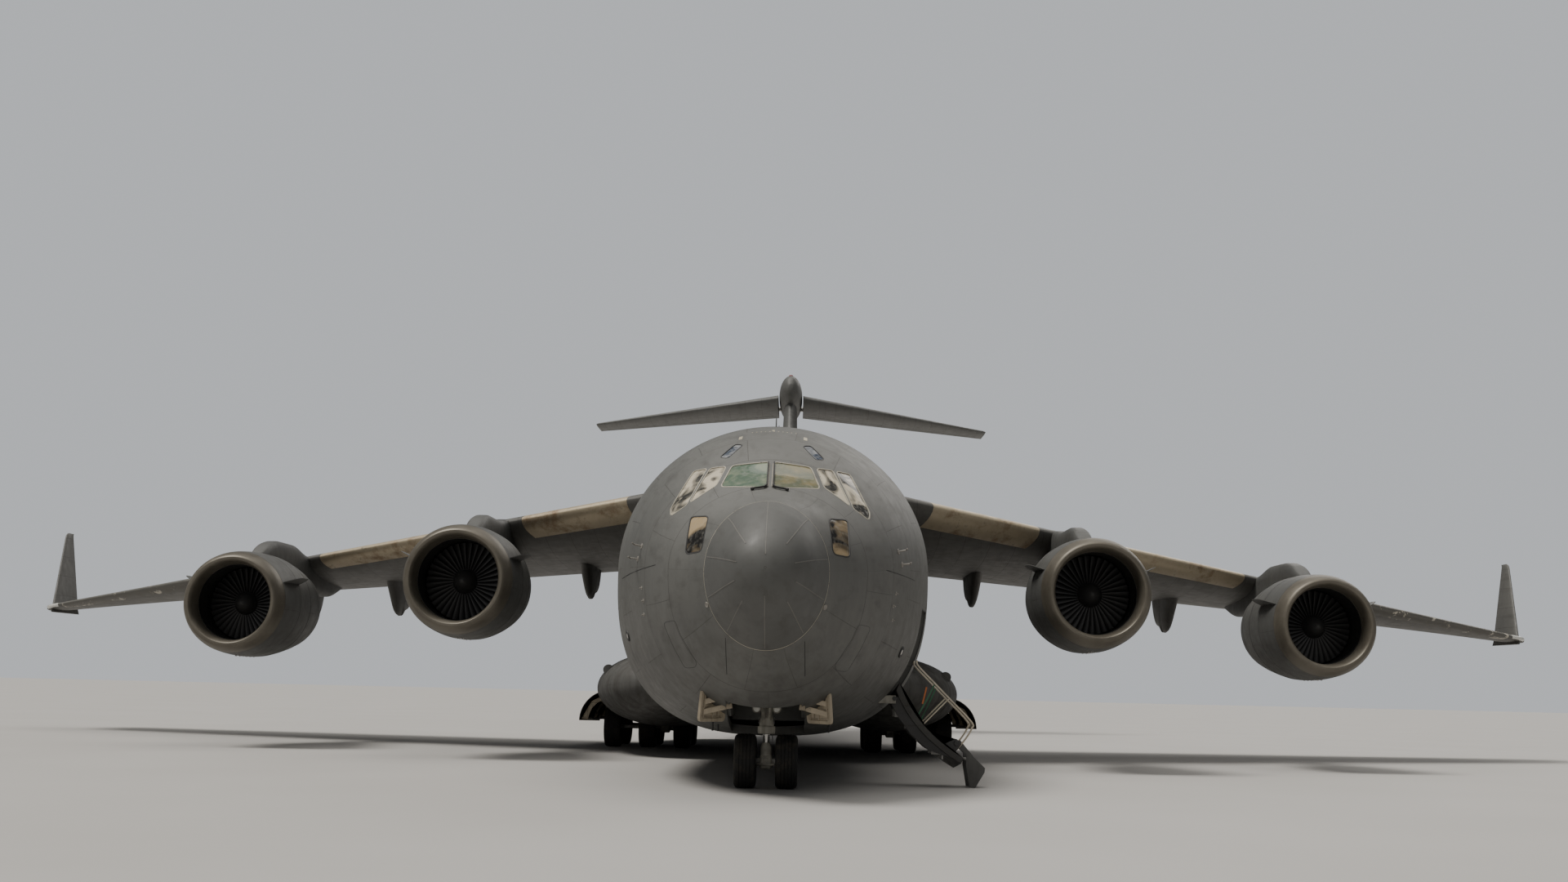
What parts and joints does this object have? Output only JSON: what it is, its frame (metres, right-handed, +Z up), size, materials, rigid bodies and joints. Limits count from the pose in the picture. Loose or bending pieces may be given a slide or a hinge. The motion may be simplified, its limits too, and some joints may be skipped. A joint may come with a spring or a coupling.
{
  "type": "military transport plane, 1:2 scale model",
  "caption": "Half-size model of a high-wing military transport jet with a T-tail and a rear loading ramp, parked on its wheels with the crew door open.",
  "frame": {"origin": "on the ground under the middle of the bounding box, with the aircraft standing on its wheels", "axes": "nose towards -Y, left wing towards +X, +Z up"},
  "size_m": [25.8686, 26.52, 8.394],
  "materials": {
    "paint": "matte dark grey paint",
    "radome_paint": "matte dark grey coating",
    "bare_metal": "satin bare metal, warm grey",
    "glazing": "coated glass with a golden sheen",
    "tyre": "matt black",
    "gear_steel": "pale enamel and bare steel",
    "fan_metal": "dark satin metal",
    "inner_paint": "matt beige primer",
    "interior": "matt interior grey"
  },
  "bodies": {
    "airframe": {"radome": "radome_paint", "nose_section": "paint", "cockpit_glazing": "glazing", "flight_deck": "interior", "cargo_floor": "interior", "centre_section": "paint", "aft_section": "paint", "fin": "paint", "nose_leg": "gear_steel", "wing_left": "paint", "slat_inner_left": "bare_metal", "slat_middle_left": "bare_metal", "slat_outer_left": "bare_metal", "wheel_pod_left": "paint", "main_door_left": "paint", "main_leg_left": "gear_steel", "nose_door_left": "inner_paint", "nacelle_inner_left": "paint", "nacelle_outer_left": "paint", "pylon_inner_left": "paint", "pylon_outer_left": "paint", "wing_right": "paint", "slat_inner_right": "bare_metal", "slat_middle_right": "bare_metal", "slat_outer_right": "bare_metal", "wheel_pod_right": "paint", "main_door_right": "paint", "main_leg_right": "gear_steel", "nose_door_right": "inner_paint", "nacelle_inner_right": "paint", "nacelle_outer_right": "paint", "pylon_inner_right": "paint", "pylon_outer_right": "paint"},
    "nose_steering": {"nose_fork": "gear_steel"},
    "nose_wheels": {"nose_wheels": "tyre"},
    "crew_door": {"crew_door": "paint"},
    "crew_step": {"crew_step": "paint"},
    "ramp": {"ramp": "paint"},
    "cargo_door": {"cargo_door": "paint"},
    "rudder_lower": {"rudder_lower": "paint"},
    "rudder_upper": {"rudder_upper": "paint"},
    "tailplane": {"tailplane": "paint"},
    "main_wheels_front_left": {"main_wheels_front_left": "tyre"},
    "main_wheels_rear_left": {"main_wheels_rear_left": "tyre"},
    "main_wheels_front_right": {"main_wheels_front_right": "tyre"},
    "main_wheels_rear_right": {"main_wheels_rear_right": "tyre"},
    "fan_inner_left": {"fan_inner_left": "fan_metal"},
    "fan_outer_left": {"fan_outer_left": "fan_metal"},
    "fan_inner_right": {"fan_inner_right": "fan_metal"},
    "fan_outer_right": {"fan_outer_right": "fan_metal"},
    "flap_inner_left": {"flap_inner_left": "paint"},
    "flap_outer_left": {"flap_outer_left": "paint"},
    "aileron_left": {"aileron_left": "paint"},
    "flap_inner_right": {"flap_inner_right": "paint"},
    "flap_outer_right": {"flap_outer_right": "paint"},
    "aileron_right": {"aileron_right": "paint"},
    "elevator_left": {"elevator_left": "paint"},
    "elevator_right": {"elevator_right": "paint"}
  },
  "joints": [
    {"name": "nose_steer", "type": "hinge", "parent": "airframe", "child": "nose_steering", "pos_m": [0, -10.95, 0.254], "axis": [0, 0, 1], "range_deg": [-65, 65]},
    {"name": "nose_wheels_roll", "type": "hinge", "parent": "nose_steering", "child": "nose_wheels", "pos_m": [0, -10.95, 0.254], "axis": [1, 0, 0], "continuous": true},
    {"name": "main_wheels_front_left_roll", "type": "hinge", "parent": "airframe", "child": "main_wheels_front_left", "pos_m": [2.025, -1.55, 0.3175], "axis": [1, 0, 0], "continuous": true},
    {"name": "main_wheels_rear_left_roll", "type": "hinge", "parent": "airframe", "child": "main_wheels_rear_left", "pos_m": [2.025, -0.3, 0.3175], "axis": [1, 0, 0], "continuous": true},
    {"name": "main_wheels_front_right_roll", "type": "hinge", "parent": "airframe", "child": "main_wheels_front_right", "pos_m": [-2.025, -1.55, 0.3175], "axis": [1, 0, 0], "continuous": true},
    {"name": "main_wheels_rear_right_roll", "type": "hinge", "parent": "airframe", "child": "main_wheels_rear_right", "pos_m": [-2.025, -0.3, 0.3175], "axis": [1, 0, 0], "continuous": true},
    {"name": "fan_inner_left_spin", "type": "hinge", "parent": "airframe", "child": "fan_inner_left", "pos_m": [3.98, -6.295, 2.205], "axis": [0, 1, 0], "continuous": true},
    {"name": "fan_outer_left_spin", "type": "hinge", "parent": "airframe", "child": "fan_outer_left", "pos_m": [7.395, -4.555, 1.95], "axis": [0, 1, 0], "continuous": true},
    {"name": "fan_inner_right_spin", "type": "hinge", "parent": "airframe", "child": "fan_inner_right", "pos_m": [-3.98, -6.295, 2.205], "axis": [0, 1, 0], "continuous": true},
    {"name": "fan_outer_right_spin", "type": "hinge", "parent": "airframe", "child": "fan_outer_right", "pos_m": [-7.395, -4.555, 1.95], "axis": [0, 1, 0], "continuous": true},
    {"name": "crew_door_swing", "type": "hinge", "parent": "airframe", "child": "crew_door", "pos_m": [1.25, -9.9225, 0.8675], "axis": [0, -1, 0], "range_deg": [0, 114]},
    {"name": "crew_step_fold", "type": "hinge", "parent": "crew_door", "child": "crew_step", "pos_m": [1.90077, -9.9225, 0.43829], "axis": [0, -1, 0], "range_deg": [0, 195]},
    {"name": "ramp_swing", "type": "hinge", "parent": "airframe", "child": "ramp", "pos_m": [0, 2.24, 0.62], "axis": [1, 0, 0], "range_deg": [-19.5, 0]},
    {"name": "cargo_door_swing", "type": "hinge", "parent": "airframe", "child": "cargo_door", "pos_m": [0, 8.39, 2.375], "axis": [1, 0, 0], "range_deg": [-25, 0]},
    {"name": "flap_inner_left_swing", "type": "hinge", "parent": "airframe", "child": "flap_inner_left", "pos_m": [3.9625, -1.10746, 2.32153], "axis": [-0.9571, -0.2772, 0.0849], "range_deg": [0, 40]},
    {"name": "flap_outer_left_swing", "type": "hinge", "parent": "airframe", "child": "flap_outer_left", "pos_m": [7.24, -0.1583, 2.03081], "axis": [-0.9571, -0.2772, 0.0849], "range_deg": [0, 40]},
    {"name": "aileron_left_swing", "type": "hinge", "parent": "airframe", "child": "aileron_left", "pos_m": [10.46218, 0.87896, 2.31754], "axis": [-0.9571, -0.2772, 0.0849], "range_deg": [-25, 25]},
    {"name": "flap_inner_right_swing", "type": "hinge", "parent": "airframe", "child": "flap_inner_right", "pos_m": [-3.9625, -1.10746, 2.32153], "axis": [-0.9571, 0.2772, -0.0849], "range_deg": [0, 40]},
    {"name": "flap_outer_right_swing", "type": "hinge", "parent": "airframe", "child": "flap_outer_right", "pos_m": [-7.24, -0.1583, 2.03081], "axis": [-0.9571, 0.2772, -0.0849], "range_deg": [0, 40]},
    {"name": "aileron_right_swing", "type": "hinge", "parent": "airframe", "child": "aileron_right", "pos_m": [-10.46218, 0.87896, 2.31754], "axis": [-0.9571, 0.2772, -0.0849], "range_deg": [-25, 25]},
    {"name": "rudder_lower_swing", "type": "hinge", "parent": "airframe", "child": "rudder_lower", "pos_m": [0, 10.31179, 4.87178], "axis": [0, 0.4453, 0.8954], "range_deg": [-25, 25]},
    {"name": "rudder_upper_swing", "type": "hinge", "parent": "airframe", "child": "rudder_upper", "pos_m": [0, 11.09424, 6.49016], "axis": [0, 0.4453, 0.8954], "range_deg": [-25, 25]},
    {"name": "tailplane_trim", "type": "hinge", "parent": "airframe", "child": "tailplane", "pos_m": [0, 11.54, 7.875], "axis": [1, 0, 0], "range_deg": [-3, 8]},
    {"name": "elevator_left_swing", "type": "hinge", "parent": "tailplane", "child": "elevator_left", "pos_m": [2.58642, 12.36388, 7.67366], "axis": [-0.9674, -0.2441, 0.0676], "range_deg": [-20, 20]},
    {"name": "elevator_right_swing", "type": "hinge", "parent": "tailplane", "child": "elevator_right", "pos_m": [-2.58642, 12.36388, 7.67366], "axis": [-0.9674, 0.2441, -0.0676], "range_deg": [-20, 20]}
  ],
  "couplings": [
    {"joint": "crew_step_fold", "follows": "crew_door_swing", "ratio": 1.64}
  ]
}
